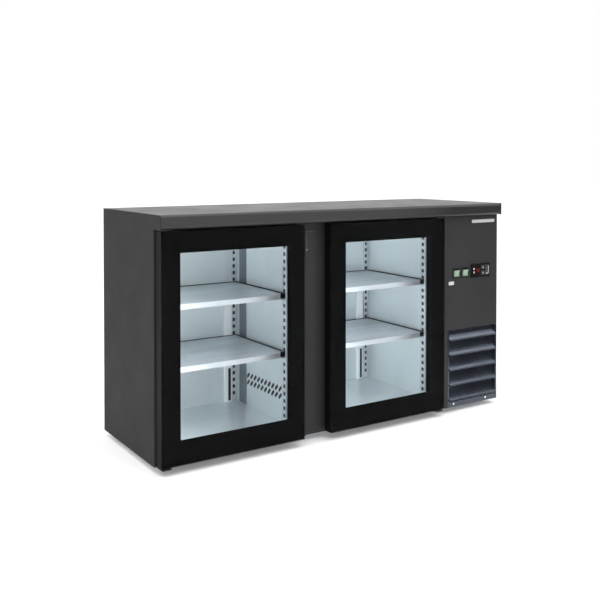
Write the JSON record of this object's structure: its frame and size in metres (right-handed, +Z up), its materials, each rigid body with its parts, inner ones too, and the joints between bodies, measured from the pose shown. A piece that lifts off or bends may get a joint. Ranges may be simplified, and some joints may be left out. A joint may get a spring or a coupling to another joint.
{
  "type": "under counter fridge",
  "caption": "Low two-door display fridge with glass doors, shelves in both bays, centre air duct, and a machine compartment with louvres, rocker switches and a thermostat at the right.",
  "frame": {"origin": "middle of the bounding box on the floor, under the feet", "axes": "+Z up, +Y to the back wall, doors face -Y, +X to the machine compartment"},
  "size_m": [1.546, 0.523, 0.85],
  "materials": {
    "case_paint": "satin anthracite coated steel",
    "worktop_paint": "satin anthracite coated steel",
    "galvanised_steel": "galvanised, faint spangle",
    "foam": "closed-cell polyurethane foam",
    "liner_steel": "brushed stainless sheet",
    "shelf_steel": "brushed stainless sheet",
    "channel_steel": "bright stainless sheet",
    "fin_aluminium": "mill finish fins",
    "fan_plastic": "moulded black",
    "hinge_steel": "zinc plated",
    "door_profile": "satin black coated profile",
    "pane_glass": "clear tempered",
    "spacer_aluminium": "anodised",
    "gasket_rubber": "matt black magnetic gasket",
    "grille_paint": "semi-gloss blue-grey",
    "screw_steel": "bright zinc",
    "bezel_plastic": "moulded black",
    "rocker_green": "translucent green, lit",
    "controller_plastic": "moulded black",
    "key_plastic": "moulded dark grey",
    "plate_white": "blank printed film",
    "compressor_paint": "gloss black enamel",
    "copper": "drawn copper tube",
    "gland_plastic": "moulded black nylon",
    "foot_plastic": "moulded black"
  },
  "bodies": {
    "cabinet": {"left_side_panel": "case_paint", "right_side_panel": "case_paint", "rear_panel": "case_paint", "top_rail": "case_paint", "bottom_rail": "case_paint", "left_jamb": "case_paint", "centre_post": "case_paint", "right_jamb": "case_paint", "machine_panel": "case_paint", "worktop": "worktop_paint", "base_panel": "galvanised_steel", "condenser_fan_plate": "galvanised_steel", "left_insulation": "foam", "rear_insulation": "foam", "floor_insulation": "foam", "ceiling_insulation": "foam", "machine_wall_insulation": "foam", "left_liner": "liner_steel", "rear_liner": "liner_steel", "floor_liner": "liner_steel", "ceiling_liner": "liner_steel", "right_liner": "liner_steel", "duct_covers": "liner_steel", "evaporator_fan_plate": "liner_steel", "shelf_uprights": "shelf_steel", "shelf_clips": "shelf_steel", "rear_channels": "channel_steel", "evaporator_coil": "fin_aluminium", "hinge_brackets": "hinge_steel", "louvre_grille": "grille_paint", "grille_screws": "screw_steel", "switch_bezels": "bezel_plastic", "thermostat_body": "controller_plastic", "badge_plates": "plate_white", "compressor": "compressor_paint", "condenser_coil": "compressor_paint", "refrigerant_pipes": "copper", "cord_gland": "gland_plastic", "feet": "foot_plastic"},
    "left_door": {"left_door_frame": "door_profile", "left_door_outer_glass": "pane_glass", "left_door_inner_glass": "pane_glass", "left_door_spacer": "spacer_aluminium", "left_door_gasket": "gasket_rubber"},
    "right_door": {"right_door_frame": "door_profile", "right_door_outer_glass": "pane_glass", "right_door_inner_glass": "pane_glass", "right_door_spacer": "spacer_aluminium", "right_door_gasket": "gasket_rubber"},
    "cooling_rocker": {"cooling_switch": "rocker_green"},
    "light_rocker": {"light_switch": "rocker_green"},
    "up_button": {"up_key": "key_plastic"},
    "down_button": {"down_key": "key_plastic"},
    "set_button": {"set_key": "key_plastic"},
    "evaporator_rotor": {"evaporator_fan": "fan_plastic"},
    "condenser_rotor": {"condenser_fan": "fan_plastic"},
    "left_lower_tray": {"left_lower_shelf": "shelf_steel"},
    "left_upper_tray": {"left_upper_shelf": "shelf_steel"},
    "right_lower_tray": {"right_lower_shelf": "shelf_steel"},
    "right_upper_tray": {"right_upper_shelf": "shelf_steel"}
  },
  "joints": [
    {"name": "left_door_hinge", "type": "hinge", "parent": "cabinet", "child": "left_door", "pos_m": [-0.755, -0.2465, 0.413], "axis": [0, 0, -1], "range_deg": [0, 105]},
    {"name": "right_door_hinge", "type": "hinge", "parent": "cabinet", "child": "right_door", "pos_m": [0.437, -0.2465, 0.413], "axis": [0, 0, 1], "range_deg": [0, 105]},
    {"name": "cooling_switch_rock", "type": "hinge", "parent": "cabinet", "child": "cooling_rocker", "pos_m": [0.54, -0.234, 0.568], "axis": [-1, 0, 0], "range_deg": [0, 16]},
    {"name": "light_switch_rock", "type": "hinge", "parent": "cabinet", "child": "light_rocker", "pos_m": [0.5885, -0.234, 0.568], "axis": [-1, 0, 0], "range_deg": [0, 16]},
    {"name": "up_key_press", "type": "slide", "parent": "cabinet", "child": "up_button", "axis": [0, 1, 0], "range_m": [0, 0.001], "stiffness_N_per_m": 400, "springref_m": -0.0005},
    {"name": "down_key_press", "type": "slide", "parent": "cabinet", "child": "down_button", "axis": [0, 1, 0], "range_m": [0, 0.001], "stiffness_N_per_m": 400, "springref_m": -0.0005},
    {"name": "set_key_press", "type": "slide", "parent": "cabinet", "child": "set_button", "axis": [0, 1, 0], "range_m": [0, 0.001], "stiffness_N_per_m": 400, "springref_m": -0.0005},
    {"name": "evaporator_fan_spin", "type": "hinge", "parent": "cabinet", "child": "evaporator_rotor", "pos_m": [-0.159, 0.0235, 0.59], "axis": [0, 0, 1], "continuous": true},
    {"name": "condenser_fan_spin", "type": "hinge", "parent": "cabinet", "child": "condenser_rotor", "pos_m": [0.626, -0.1345, 0.19], "axis": [0, 1, 0], "continuous": true},
    {"name": "left_lower_shelf_lift", "type": "slide", "parent": "cabinet", "child": "left_lower_tray", "axis": [0, 0, 1], "range_m": [0, 0.012]},
    {"name": "left_upper_shelf_lift", "type": "slide", "parent": "cabinet", "child": "left_upper_tray", "axis": [0, 0, 1], "range_m": [0, 0.012]},
    {"name": "right_lower_shelf_lift", "type": "slide", "parent": "cabinet", "child": "right_lower_tray", "axis": [0, 0, 1], "range_m": [0, 0.012]},
    {"name": "right_upper_shelf_lift", "type": "slide", "parent": "cabinet", "child": "right_upper_tray", "axis": [0, 0, 1], "range_m": [0, 0.012]}
  ]
}
